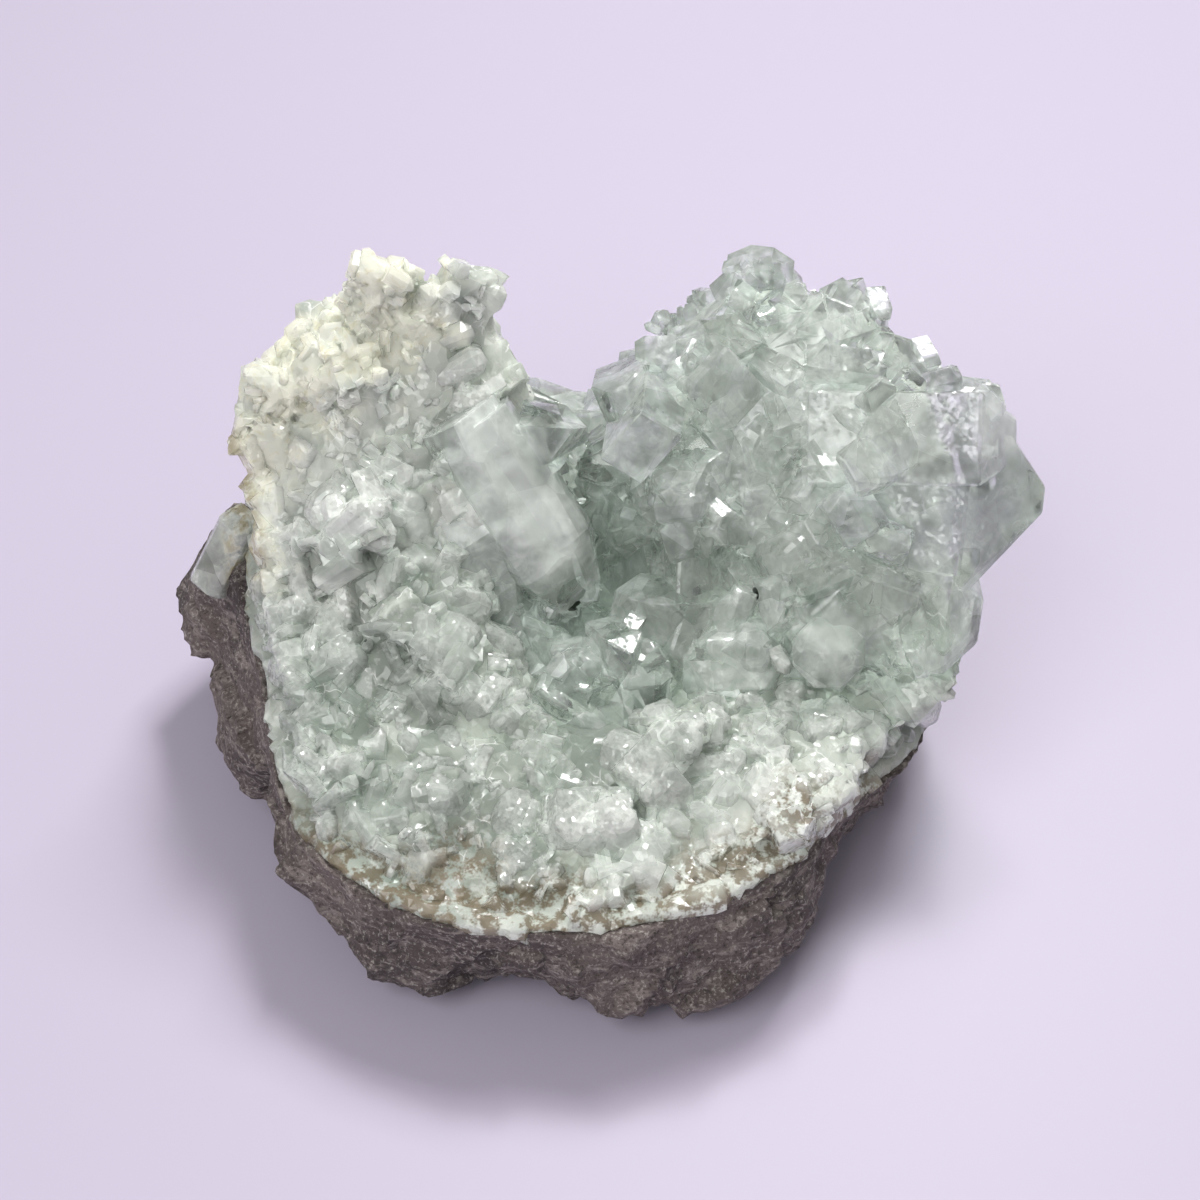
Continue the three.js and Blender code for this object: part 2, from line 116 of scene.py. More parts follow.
class Sock:
    """A node's output, with the arithmetic that the materials use."""

    def __init__(self, tree, out):
        self.tree = tree
        self.out = out

    def node(self, kind, settings=None, **inputs):
        """Adds a node of a type, its settings first, then values or links for its sockets."""
        made = self.tree.nodes.new(kind)
        for name, value in (settings or {}).items():
            setattr(made, name, value)
        for name, value in inputs.items():
            key = int(name[1:]) if name[0] == "_" else name.replace("_", " ")
            socket = made.inputs[key]
            if isinstance(value, Sock):
                self.tree.links.new(value.out, socket)
            else:
                socket.default_value = value
        return made

    def math(self, operation, other=0.0, third=0.0):
        settings = {"operation": operation}
        made = self.node("ShaderNodeMath", settings, _0=self, _1=other, _2=third)
        return Sock(self.tree, made.outputs[0])

    def __add__(self, other):
        return self.math("ADD", other)

    def __radd__(self, other):
        return self.math("ADD", other)

    def __sub__(self, other):
        return self.math("SUBTRACT", other)

    def __rsub__(self, other):
        return (self * -1.0) + other

    def __mul__(self, other):
        return self.math("MULTIPLY", other)

    def __rmul__(self, other):
        return self.math("MULTIPLY", other)

    def clamped(self):
        return self.math("MINIMUM", 1.0).math("MAXIMUM", 0.0)

    def step(self, low, high):
        """0 below low, 1 above high, and smooth between them."""
        settings = {"interpolation_type": "SMOOTHSTEP"}
        ends = {"_1": low, "_2": high, "_3": 0.0, "_4": 1.0}
        made = self.node("ShaderNodeMapRange", settings, _0=self, **ends)
        return Sock(self.tree, made.outputs[0])

    def mix(self, first, second):
        """Blends two colours, this socket being the share of the second."""
        colours = {"_6": first, "_7": second}
        made = self.node("ShaderNodeMix", {"data_type": "RGBA"}, _0=self.clamped(), **colours)
        return Sock(self.tree, made.outputs[2])


def start_material(name):
    """A new empty material and a socket of the surface's own coordinates in metres."""
    material = bpy.data.materials.new(name)
    material.use_nodes = True
    tree = material.node_tree
    tree.nodes.clear()
    place = Sock(tree, tree.nodes.new("ShaderNodeTexCoord").outputs["Object"])
    return material, place


def noise(place, size, detail=3.0, roughness=0.55, warp=0.0, stretch=None):
    """Noise of about 0 to 1 whose blotches are size millimetres across."""
    if stretch:
        scaled = place.node("ShaderNodeMapping", Vector=place, Scale=stretch)
        place = Sock(place.tree, scaled.outputs[0])
    made = place.node(
        "ShaderNodeTexNoise",
        Vector=place,
        Scale=1 / (size * MM),
        Detail=detail,
        Roughness=roughness,
        Distortion=warp,
    )
    return Sock(place.tree, made.outputs["Fac"])


def cells(place, size, output="Distance", feature="F1"):
    """A cell pattern whose cells are size millimetres across."""
    settings = {"feature": feature}
    made = place.node("ShaderNodeTexVoronoi", settings, Vector=place, Scale=1 / (size * MM))
    return Sock(place.tree, made.outputs[output])


def cracks(place, size):
    """1 along the thin wandering cracks between blocks of a size, 0 inside the blocks."""
    made = place.node("ShaderNodeTexNoise", Vector=place, Scale=0.8 / (size * MM), Detail=2)
    bend = Sock(place.tree, made.outputs["Color"])
    by = (size * MM,) * 3
    settings = {"operation": "MULTIPLY_ADD"}
    bent = place.node("ShaderNodeVectorMath", settings, _0=bend, _1=by, _2=place)
    edge = cells(Sock(place.tree, bent.outputs[0]), size, "Distance", "DISTANCE_TO_EDGE")
    return (1 - edge.step(0.0, 0.035)) * noise(place, size * 1.3, 2).step(0.54, 0.64)


def part_of(place, axis):
    """The x, y or z of a position, in millimetres, or a thousand times a colour's."""
    made = place.node("ShaderNodeSeparateXYZ", Vector=place)
    return Sock(place.tree, made.outputs[axis]) * (1 / MM)


def sparkling_normal(place, size, tilt):
    """A normal that is tilted by a random amount on every small cleavage facet."""
    random = place.node(
        "ShaderNodeVectorMath",
        {"operation": "SUBTRACT"},
        _0=cells(place, size, "Color"),
        _1=(0.5, 0.5, 0.5),
    )
    leaned = place.node(
        "ShaderNodeVectorMath",
        {"operation": "SCALE"},
        _0=Sock(place.tree, random.outputs[0]),
        Scale=tilt,
    )
    normal = Sock(place.tree, place.node("ShaderNodeNewGeometry").outputs["Normal"])
    total = place.node(
        "ShaderNodeVectorMath",
        {"operation": "ADD"},
        _0=normal,
        _1=Sock(place.tree, leaned.outputs[0]),
    )
    leaning = Sock(place.tree, total.outputs[0])
    unit = place.node("ShaderNodeVectorMath", {"operation": "NORMALIZE"}, _0=leaning)
    return Sock(place.tree, unit.outputs[0])


def bumped(height, depth, normal=None):
    """A normal from a height pattern, its full depth given in millimetres."""
    inputs = {"Height": height, "Distance": depth * MM, "Strength": 1.0}
    if normal is not None:
        inputs["Normal"] = normal
    made = height.node("ShaderNodeBump", **inputs)
    return Sock(height.tree, made.outputs[0])


def principled(place, **inputs):
    made = place.node("ShaderNodeBsdfPrincipled", {"subsurface_method": "BURLEY"}, **inputs)
    return Sock(place.tree, made.outputs[0])


def finish_material(material, surface, volume=None):
    tree = material.node_tree
    output = tree.nodes.new("ShaderNodeOutputMaterial")
    tree.links.new(surface.out, output.inputs["Surface"])
    if volume is not None:
        tree.links.new(volume.out, output.inputs["Volume"])
    print("material", material.name, "has", len(tree.nodes), "nodes")
    return material


# %% Floor
def floor_material():
    material, place = start_material("pale_floor")
    surface = principled(place, Base_Color=(0.60, 0.54, 0.68, 1), Roughness=0.5)
    return finish_material(material, surface)


bpy.ops.object.select_all(action="DESELECT")
bpy.ops.mesh.primitive_plane_add(size=6)
floor = bpy.context.object
floor.name = "floor"
floor.data.materials.append(floor_material())

# %% [markdown]
# ## The marl of the rind
# Marl is a soft sandy mudstone: matt, grey-brown, speckled with pale and dark grains, and
# streaked along its bedding. It could be one noise, but real marl has three sizes at once:
# stains as wide as a thumb, streaks, and single grains.

# %% Marl material
def marl_material():
    material, place = start_material("sandy_marl")
    stain = noise(place, 14, 4, 0.6)
    streak = noise(place, 2.6, 4, 0.65, 0.4, (1, 1, 3.5))
    grain = noise(place, 0.45, 2, 0.8)
    dark_speck = 1 - cells(place, 1.1).step(0.12, 0.3)
    colour = stain.step(0.35, 0.68).mix((0.068, 0.053, 0.054, 1), (0.17, 0.137, 0.13, 1))
    colour = (streak.step(0.48, 0.66) * 0.55).mix(colour, (0.39, 0.34, 0.315, 1))
    colour = (grain.step(0.52, 0.72) * 0.65).mix(colour, (0.54, 0.50, 0.46, 1))
    colour = ((1 - grain.step(0.3, 0.46)) * 0.8).mix(colour, (0.055, 0.045, 0.04, 1))
    dark_speck = dark_speck * noise(place, 3).step(0.5, 0.62) * 0.7
    colour = dark_speck.mix(colour, (0.06, 0.05, 0.045, 1))
    height = grain * 0.45 + streak * 0.55 + noise(place, 1.3, 3) * 0.6
    surface = principled(
        place,
        Base_Color=colour,
        Roughness=0.86 + grain * 0.1,
        Normal=bumped(height, 0.5),
    )
    return finish_material(material, surface)


marl = marl_material()

# %% [markdown]
# ## Where the celestite is white, cream or dirty
# The left peak and its ridge are cream where they grew against the marl, the front rim is
# white with tiny cracks, and two patches of brown marl dirt cling to the front. These
# places are the same for the milky mass and for the crystals in it, so they are written
# once, in the millimetres of the object's own coordinates.

# %% Zones
CREAM_SPOTS = [((-20, 11, 47), 10), ((-26, 9, 42), 9), ((-30, 4, 35), 6), ((-31, -2, 28), 5)]
DIRT_SPOTS = [((-11, -27, 15), 6), ((18, -22, 17.5), 5.5), ((14, -25, 16), 5)]
WHITE_SPOTS = [((36, 5, 38), 5), ((-11, 2, 31), 5), ((-22, -4, 26), 5)]
PALE_SPOTS = [
    ((-9, 3.8, 37), 5), ((-7, 2.2, 34), 5.5), ((-4.5, 0.5, 30.5), 5.5), ((-2.5, -0.8, 27), 4),
    ((36, 5, 38), 5), ((21, -7, 23), 4),
]
# Painted shade: near-black spots for the deep gaps at the blade's low end, a hole in the middle
# cluster and the pit below the hollow, where light doesn't reach.
PAINTED_GAP_SHADE_SPOTS = [
    ((-1.6, -0.6, 20.8), 0.8), ((-2.7, 0, 21.6), 0.7), ((13.4, -2.1, 23.6), 0.7),
    ((14.6, -2.4, 23.9), 0.7), ((0.8, -15, 19), 1.8),
]
# Painted shade: the milky mass is painted darker grey-green in the pit below the hollow.
PAINTED_PIT_SHADE_SPOTS = [((0.8, -15, 19), 5.5)]
GREY_SPOTS = [((-20, -8, 22), 11), ((-14, -19, 16), 10)]
# The grey-green of clear crystal, painted darker as shade: behind the blade and on the back of the
# hollow.
SHADED_GREEN_SPOTS = [((-4.5, 6, 38), 5), ((-3, 12, 34), 6), ((6, 14, 26), 5)]
# Painted reflection: a lilac cast on the great block and the saddle that stands for the purple
# floor's light, reflected and passed through the crystals.
LILAC_REFLECTION_SPOTS = [((33, 3, 33), 14), ((3, 25, 23), 7)]


def near_spots(place, ragged, spots, soft):
    """1 at the centre of any spot, falling to 0 at its radius, its edge moved by a noise."""
    total = None
    for centre, radius in spots:
        middle = tuple(c * MM for c in centre)
        apart = place.node("ShaderNodeVectorMath", {"operation": "DISTANCE"}, _0=place, _1=middle)
        radii = Sock(place.tree, apart.outputs["Value"]) * (1 / (radius * MM))
        share = 1 - (radii + (ragged - 0.5) * 1.2)
        total = share if total is None else total.math("MAXIMUM", share)
    return total.step(0.0, soft)


def zones(place):
    """The cream, the white, the brown and the dirty share of a place."""
    x, y, z = (part_of(place, axis) for axis in "XYZ")
    ragged = noise(place, 3, 2, 0.6)
    wander = (noise(place, 7, 2) - 0.5) * 14
    cream = near_spots(place, ragged, CREAM_SPOTS, 0.5)
    in_front = (x * 0.5 - y + wander * 0.8).step(20, 35)
    high_up = (z + wander * 0.4).step(21, 34) * 0.65
    white = in_front.math("MAXIMUM", high_up)
    white = white.math("MAXIMUM", near_spots(place, ragged, WHITE_SPOTS, 0.6))
    brown = (wander * 0.25 - x - (z - 28).math("ABSOLUTE") * 0.25).step(28.2, 30.2)
    brown = brown * (x + 34).step(0, 1.5)
    brown = brown * noise(place, 2, 3, 0.7).step(0.4, 0.62)
    seam = (wander * 0.18 + 16.4 - z).step(0.0, 2.2) * (0 - y).step(10, 16)
    dirt = near_spots(place, ragged, DIRT_SPOTS, 0.7).math("MAXIMUM", seam)
    dirt = dirt * noise(place, 1.5, 3, 0.7).step(0.42, 0.56)
    return cream, white, brown, dirt


def stained(place, colour, fine, zone_shares):
    """A colour with the cream, brown, dirt and black specks of its place."""
    cream, _, brown, dirt = zone_shares
    patchy = noise(place, 3.2, 2).step(0.35, 0.6)
    colour = (cream * (0.55 + patchy * 0.45)).mix(colour, (0.88, 0.87, 0.74, 1))
    colour = (cream * fine.step(0.52, 0.68) * 0.5).mix(colour, (0.72, 0.67, 0.44, 1))
    colour = (brown * 0.7).mix(colour, (0.36, 0.29, 0.13, 1))
    colour = (dirt * 0.9).mix(colour, (0.21, 0.165, 0.105, 1))
    speck = (1 - cells(place, 3.6).step(0.03, 0.06)) * noise(place, 9, 2).step(0.42, 0.55)
    return speck.mix(colour, (0.03, 0.03, 0.03, 1))


# %% [markdown]
# ## Massive celestite
# The wall is one mass of grown-together celestite: milky white where it is full of tiny
# cracks, grey-green where it is clear enough to look into. Light goes in and comes out a
# few millimetres away, which is subsurface scattering. The broken surface is a patchwork
# of cleavage facets, and each turns the light its own way. The large ones are real
# relief, and the smallest are tilts of the normal.

# %% Massive celestite material
def massive_material():
    material, place = start_material("milky_mass")
    grain = part_of(cells(place, 4.2, "Color"), "X") * MM
    veil = noise(place, 7, 3, 0.62, 0.6)
    fine = noise(place, 1.0, 3, 0.7)
    shares = zones(place)
    grey = near_spots(place, veil, GREY_SPOTS, 0.7)
    milky = veil.step(0.35, 0.65) * 0.55 + grain * 0.3 + shares[1] * 0.55
    milky = (milky - 0.1 - grey * 0.35).clamped()
    colour = milky.mix((0.33, 0.37, 0.32, 1), (0.74, 0.77, 0.70, 1))
    crazed = fine.step(0.55, 0.75) * 0.4 + cracks(place, 2.2) * 0.8
    colour = crazed.mix(colour, (0.95, 0.96, 0.93, 1))
    # Painted shade: darker grey-green in the pit below the hollow, where little light gets in.
    pit_shade = near_spots(place, veil, PAINTED_PIT_SHADE_SPOTS, 0.7) * 0.75
    colour = pit_shade.mix(colour, (0.22, 0.26, 0.22, 1))
    colour = stained(place, colour, fine, shares)
    glitter = noise(place, 4, 2).step(0.5, 0.6)
    surface = principled(
        place,
        Base_Color=colour,
        Roughness=0.08 + 0.22 * fine,
        IOR=CELESTITE_INDEX,
        Subsurface_Weight=1.0,
        Subsurface_Radius=(1.0, 1.05, 1.0),
        Subsurface_Scale=1.6 * MM,
        Normal=bumped(fine, 0.05, sparkling_normal(place, 0.5, glitter * 0.8)),
    )
    return finish_material(material, surface)


massive = massive_material()

# %% [markdown]
# ## Clear celestite
# The crystals are clear enough to see into, with cloudy veils. The clear share is plain
# glass with the index of celestite and a faint grey-green absorption, so thick crystals
# are darker than thin ones. The cloudy share scatters light inside, and each crystal has
# its own, cut by the same noise that draws the veils. Lamp light reaches through.

# %% Colours of the cloudy share
def wall_colour(place, noises):
    """The colour in the wall's crystals, and how much cloudier each place is."""
    veil, fine = noises
    shares = zones(place)
    cream, white, brown, dirt = shares
    colour = fine.step(0.35, 0.68).mix((0.51, 0.542, 0.50, 1), (0.745, 0.77, 0.725, 1))
    grey = near_spots(place, veil, GREY_SPOTS, 0.7) * 0.55
    colour = grey.mix(colour, (0.42, 0.46, 0.42, 1))
    colour = (white * 0.75).mix(colour, (0.90, 0.92, 0.87, 1))
    return stained(place, colour, fine, shares), white * 0.35 + cream * 0.6 + brown + dirt


def crust_colour(place, noises):
    """The colour in the crust's crystals, and how much cloudier each place is."""
    fine = noises[1]
    ragged = noise(place, 3, 2, 0.6)
    colour = fine.step(0.35, 0.68).mix((0.60, 0.632, 0.61, 1), (0.875, 0.905, 0.88, 1))
    # Painted reflection: the lilac cast of the floor's light.
    painted_lilac_reflection = near_spots(place, ragged, LILAC_REFLECTION_SPOTS, 0.9) * 0.6
    colour = painted_lilac_reflection.mix(colour, (0.66, 0.66, 0.73, 1))
    # The grey-green of clear crystal, with painted shade that makes it dark.
    shaded_green = near_spots(place, ragged, SHADED_GREEN_SPOTS, 0.8) * 0.7
    colour = shaded_green.mix(colour, (0.36, 0.42, 0.38, 1))
    pale = near_spots(place, ragged, PALE_SPOTS, 0.8)
    colour = (pale * 0.8).mix(colour, (0.91, 0.96, 0.90, 1))
    # Painted shade: the deep gaps are painted near black and made cloudy.
    painted_gap_shade = near_spots(place, ragged, PAINTED_GAP_SHADE_SPOTS, 0.3)
    return painted_gap_shade.mix(colour, (0.02, 0.025, 0.02, 1)), pale * 0.45 + painted_gap_shade


# %% Clear celestite material
def glass_and_milk(place, cloudy, colour, fine, normal):
    """Clear crystal where cloudy is 0 and milky crystal where it is 1."""
    glass = principled(
        place,
        Base_Color=(0.97, 0.99, 0.98, 1),
        Roughness=0.02,
        IOR=CELESTITE_INDEX,
        Transmission_Weight=1.0,
        Normal=normal,
    )
    milk = principled(
        place,
        Base_Color=colour,
        Roughness=0.03 + 0.1 * fine,
        IOR=CELESTITE_INDEX,
        Subsurface_Weight=1.0,
        Subsurface_Radius=(1.0, 1.05, 1.0),
        Subsurface_Scale=1.2 * MM,
        Normal=normal,
    )
    mixed = place.node("ShaderNodeMixShader", _0=cloudy.clamped(), _1=glass, _2=milk)
    return Sock(place.tree, mixed.outputs[0])


def lit_through(surface):
    """The same surface, but lamp light passes it as if it were tinted air."""
    passing = surface.node("ShaderNodeBsdfTransparent", Color=(0.69, 0.73, 0.705, 1))
    for_lamps = surface.node("ShaderNodeLightPath").outputs["Is Shadow Ray"]
    made = surface.node(
        "ShaderNodeMixShader",
        _0=Sock(surface.tree, for_lamps),
        _1=surface,
        _2=Sock(surface.tree, passing.outputs[0]),
    )
    return Sock(surface.tree, made.outputs[0])


def clear_material(name, least_cloudy, most_cloudy, glitter, colour_of):
    """Cloudy glass with glitter from cleavage, and the milk's colour by its own function."""
    material, place = start_material(name)
    veil = noise(place, 6, 2, 0.6, 0.8)
    fine = noise(place, 1.5, 3, 0.68, 0.8)
    grain = part_of(cells(place, 4.5, "Color"), "X") * MM
    colour, cloudier = colour_of(place, (veil, fine))
    patches = (veil.step(0.36, 0.64) * 0.6 + grain * 0.55).clamped()
    cloudy = patches * (most_cloudy - least_cloudy) + least_cloudy
    cloudy = cloudy + fine.step(0.6, 0.76) * 0.2 + cloudier
    normal = sparkling_normal(place, 0.3, veil.step(0.43, 0.54) * glitter)
    surface = lit_through(glass_and_milk(place, cloudy, colour, fine, normal))
    absorbed = place.node("ShaderNodeVolumeAbsorption", Color=(0.70, 0.76, 0.73, 1), Density=7.0)
    return finish_material(material, surface, Sock(place.tree, absorbed.outputs[0]))


clear = clear_material("clear_crystal", 0.0, 0.5, 0.2, crust_colour)
clear_in_wall = clear_material("crystal_in_the_wall", 0.25, 0.95, 1.0, wall_colour)

# %% [markdown]
# ## Tools for the pieces
# Every fine piece that stands for a solid starts as a merged copy of it, so it can't
# drift from it, and the copies that stay unchanged are guides to measure against.

# %% Modelling helpers
def pick(piece):
    """Makes one object the only selected and active one."""
    bpy.ops.object.select_all(action="DESELECT")
    piece.select_set(True)
    bpy.context.view_layer.objects.active = piece


def modified(piece, kind, **settings):
    """Adds a modifier with its settings and applies it."""
    pick(piece)
    modifier = piece.modifiers.new(kind.lower(), kind)
    for name, value in settings.items():
        setattr(modifier, name, value)
    bpy.ops.object.modifier_apply(modifier=modifier.name)
    return piece


def merged_copy(node, name):
    """A copy of a solid whose loose triangles are joined into one closed mesh."""
    piece = bpy.data.objects.new(name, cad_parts[node].data.copy())
    bpy.context.scene.collection.objects.link(piece)
    piece.data.materials.clear()
    pick(piece)
    bpy.ops.object.mode_set(mode="EDIT")
    bpy.ops.mesh.select_all(action="SELECT")
    bpy.ops.mesh.remove_doubles(threshold=0.002 * MM)
    bpy.ops.mesh.customdata_custom_splitnormals_clear()
    bpy.ops.object.mode_set(mode="OBJECT")
    return piece


def points_of(piece):
    """Every vertex and its normal, in millimetres."""
    count = len(piece.data.vertices)
    place = np.empty(count * 3)
    normal = np.empty(count * 3)
    piece.data.vertices.foreach_get("co", place)
    piece.data.vertices.foreach_get("normal", normal)
    return place.reshape(-1, 3) / MM, normal.reshape(-1, 3)


def calm_normals(piece, rounds=12):
    """The normals that a smoothed copy has, which small bumps don't disturb."""
    copy = piece.copy()
    copy.data = piece.data.copy()
    bpy.context.scene.collection.objects.link(copy)
    modified(copy, "SMOOTH", factor=0.5, iterations=rounds)
    normal = points_of(copy)[1]
    bpy.data.objects.remove(copy)
    return normal


def set_points(piece, place):
    piece.data.vertices.foreach_set("co", (place * MM).ravel())
    piece.data.update()


def facet_heights(place, breadth, slope, seed):
    """Height in millimetres, about 0 on average, over a patchwork of flat tilted facets.

    Each seed carries a tilted plane, and the surface follows the highest of the nearest
    planes, so facets meet in ridges without a jump.
    """
    random = np.random.default_rng(seed)
    low = place.min(0) - breadth
    high = place.max(0) + breadth
    count = int(np.prod((high - low) / breadth))
    seeds = random.uniform(low, high, (count, 3))
    tilt = random.uniform(-slope, slope, (count, 3))
    rise = random.uniform(-0.5, 0.5, count) * slope * breadth
    tree = KDTree(count)
    for number, point in enumerate(seeds):
        tree.insert(point, number)
    tree.balance()
    nearest = np.array([[found[1] for found in tree.find_n(point, 3)] for point in place])
    offset = place[:, None, :] - seeds[nearest]
    planes = (offset * tilt[nearest]).sum(2) + rise[nearest]
    height = planes.max(1)
    return height - height.mean()


def distance_from(tree, place):
    """How far each place is from a surface, in millimetres."""
    return np.array([tree.find_nearest(Vector(point) * MM)[3] for point in place]) / MM


def smooth_below(piece, degrees):
    """Smooth shading, but for the edges that bend more than an angle."""
    pick(piece)
    bpy.ops.object.shade_smooth_by_angle(angle=math.radians(degrees))
    return piece


def triangles(piece):
    return sum(len(face.vertices) - 2 for face in piece.data.polygons)


def settle(piece, node, material):
    """Gives a finished piece its body and its finish, and hides the solid that it stands for."""
    piece.data.materials.clear()
    piece.data.materials.append(material)
    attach(piece, "root")
    if node:
        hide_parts(node)
    print(piece.name, triangles(piece), "triangles")


# %% Guides to measure against
def tree_of(piece):
    corners = [v.co for v in piece.data.vertices]
    return BVHTree.FromPolygons(corners, [f.vertices[:] for f in piece.data.polygons])


SOLIDS = ("matrix_rind", "celestite_wall", "crystal_crust")
guides = {name: merged_copy(name, name + "_guide") for name in SOLIDS}
rind_tree, wall_tree, crust_tree = (tree_of(guide) for guide in guides.values())
print("guide faces:", [len(g.data.polygons) for g in guides.values()])

# %% [markdown]
# ## Crystal shapes
# A celestite crystal is a flat four-sided tablet with a chisel end, and many are worn or
# cut off. It could be drawn point by point, but an artist takes a box, draws its top out
# to a ridge, cuts its corners and bevels it, and the bevel is what catches the light.
# The shapes for sowing are one unit wide, thick and long.

# %% Crystal shapes
def select_where(piece, mode, chosen):
    """Selects the faces or edges for which chosen(their corners) holds, and edits the piece."""
    pick(piece)
    bpy.ops.object.mode_set(mode="EDIT")
    bpy.ops.mesh.select_mode(type=mode)
    bpy.ops.mesh.select_all(action="DESELECT")
    bpy.ops.object.mode_set(mode="OBJECT")
    corners = [v.co for v in piece.data.vertices]
    for part in piece.data.polygons if mode == "FACE" else piece.data.edges:
        part.select = chosen([corners[v] for v in part.vertices])
    bpy.ops.object.mode_set(mode="EDIT")


def crystal_shape(name, size, root, slope, ridge, edge=0.06, corner=0.0, bevel=0.03):
    """A crystal that stands on the origin with a root below it.

    Its top narrows over the share slope of its length to a ridge, which is a share of its
    width long and the share edge of its thickness broad.
    """
    width, thickness, length = size
    bpy.ops.object.select_all(action="DESELECT")
    bpy.ops.mesh.primitive_cube_add(size=1)
    crystal = bpy.context.object
    crystal.name = name
    crystal.location.z = (length - root) / 2
    crystal.scale = (width, thickness, length + root)
    bpy.ops.object.transform_apply(location=True, rotation=False, scale=True)
    if corner:
        select_where(crystal, "EDGE", lambda ends: abs(ends[0].z - ends[1].z) > length / 2)
        bpy.ops.mesh.bevel(offset=corner, segments=1)
        bpy.ops.object.mode_set(mode="OBJECT")
    select_where(crystal, "FACE", lambda corners: min(c.z for c in corners) > length * 0.9)
    bpy.ops.transform.translate(value=(0, 0, -slope * length))
    bpy.ops.mesh.extrude_region_move(TRANSFORM_OT_translate={"value": (0, 0, slope * length)})
    bpy.ops.transform.resize(value=(ridge, edge, 1), center_override=(0, 0, 0))
    bpy.ops.object.mode_set(mode="OBJECT")
    if bevel:
        modified(crystal, "BEVEL", width=bevel, segments=1, limit_method="ANGLE")
    return crystal


UNIT = (1, 1, 1)
shapes = {
    "chisel": crystal_shape("chisel", UNIT, 0.4, 0.35, 0.6),
    "lozenge": crystal_shape("lozenge", UNIT, 0.4, 0.4, 0.45, 0.12, 0.3),
    "wedge": crystal_shape("wedge", UNIT, 0.4, 0.5, 0.9, 0.3),
    "stump": crystal_shape("stump", UNIT, 0.4, 0.25, 0.6, 0.6, 0.25, 0.06),
    "small chisel": crystal_shape("small chisel", UNIT, 0.4, 0.35, 0.6, bevel=0),
    "small wedge": crystal_shape("small wedge", UNIT, 0.4, 0.5, 0.9, 0.3, bevel=0),
    "small lozenge": crystal_shape("small lozenge", UNIT, 0.4, 0.35, 0.5, 0.3, 0.28, bevel=0),
}
print("crystal faces:", {name: len(s.data.polygons) for name, s in shapes.items()})

# %% [markdown]
# ## Small crystals by the hundred
# They grow outwards from whatever they stand on, leaning at random. They could be
# scattered as particles, but real ones are grown into their base. So their places are
# drawn at random over the faces of a surface, larger faces getting more, every copy is
# turned and sized, and all are united with one another.

# %% Sowing
TRIES_PER_PLACE = 8
MOSTLY_SMALL = 1.8


def surface_samples(piece, count, seed, allow):
    """Random places on a piece where allow(place, normal) holds, with their normals."""
    random = np.random.default_rng(seed)
    faces = piece.data.polygons
    area = np.array([f.area for f in faces])
    chosen = []
    for number in random.choice(len(faces), size=count * TRIES_PER_PLACE, p=area / area.sum()):
        face = faces[int(number)]
        corners = [piece.data.vertices[v].co for v in face.vertices[:3]]
        share = random.dirichlet((1, 1, 1))
        place = sum((c * w for c, w in zip(corners, share)), Vector())
        if allow(place / MM, face.normal):
            chosen.append((place, face.normal.copy()))
        if len(chosen) == count:
            break
    return chosen


def open_to_air(place, normal, trees, reach=1.5):
    """Whether nothing lies just above a place on a surface."""
    start = (place + normal * 0.05) * MM
    return all(tree.ray_cast(start, normal, reach * MM)[0] is None for tree in trees)


def frame_of(along, facing):
    """A turn that sets a crystal's length along one direction, its broad face to another."""
    z = Vector(along).normalized()
    y = Vector(facing)
    y = (y - z * y.dot(z)).normalized()
    return Matrix((y.cross(z), y, z)).transposed().to_4x4()


def copy_of(shape, place, turn, size):
    """A placed copy of a crystal shape: its place, and its width, thickness and length."""
    copy = shapes[shape].copy()
    copy.data = shapes[shape].data.copy()
    stretch = Matrix.Diagonal((*(Vector(size) * MM), 1))
    copy.data.transform(Matrix.Translation(Vector(place) * MM) @ turn @ stretch)
    bpy.context.scene.collection.objects.link(copy)
    return copy


def sown(samples, kinds, sizes, lean, rise, seed):
    """Crystals of some kinds at the samples, each showing a share rise of its length."""
    random = np.random.default_rng(seed)
    copies = []
    for place, normal in samples:
        size = sizes[0] + (sizes[1] - sizes[0]) * random.random() ** MOSTLY_SMALL
        up = (normal + lean * Vector(random.uniform(-1, 1, 3))).normalized()
        turn = frame_of(up, random.normal(0, 1, 3))
        width, thickness, length = size * random.uniform((0.8, 0.45, 0.7), (1.2, 0.9, 1.2))
        sunk = place / MM - up * (1 - rise) * length
        kind = kinds[int(random.integers(len(kinds)))]
        copies.append(copy_of(kind, sunk, turn, (width, thickness, length)))
    return copies


GREAT_BEVEL = 0.2


def great_crystal(at, along, facing, size, root=3, slope=0.35, ridge=0.45, corner=0.0):
    """A large crystal by its foot, its direction and its broad face's, in millimetres."""
    size = [measure * MM for measure in size]
    cuts = (slope, ridge, 0.05, corner * MM, GREAT_BEVEL * MM)
    crystal = crystal_shape("great crystal", size, root * MM, *cuts)
    crystal.data.transform(Matrix.Translation((Vector(at) + FOOT) * MM) @ frame_of(along, facing))
    return crystal


def growth_plate(at, along, facing, size, root=3, slope=0.35, ridge=0.45, corner=0.0):
    """A thin plate that grew on a large crystal's broad face."""
    width, thickness, length = size
    aside = Vector((0.12 * width, thickness / 2 - 0.65, -0.05 * length))
    outward = frame_of(along, facing).to_3x3() @ aside
    plate = (width * 0.62, 2.0, length * (1 - slope) * 0.86)
    return great_crystal(Vector(at) + outward, along, facing, plate, 1, 0.12, 0.8, corner * 0.5)


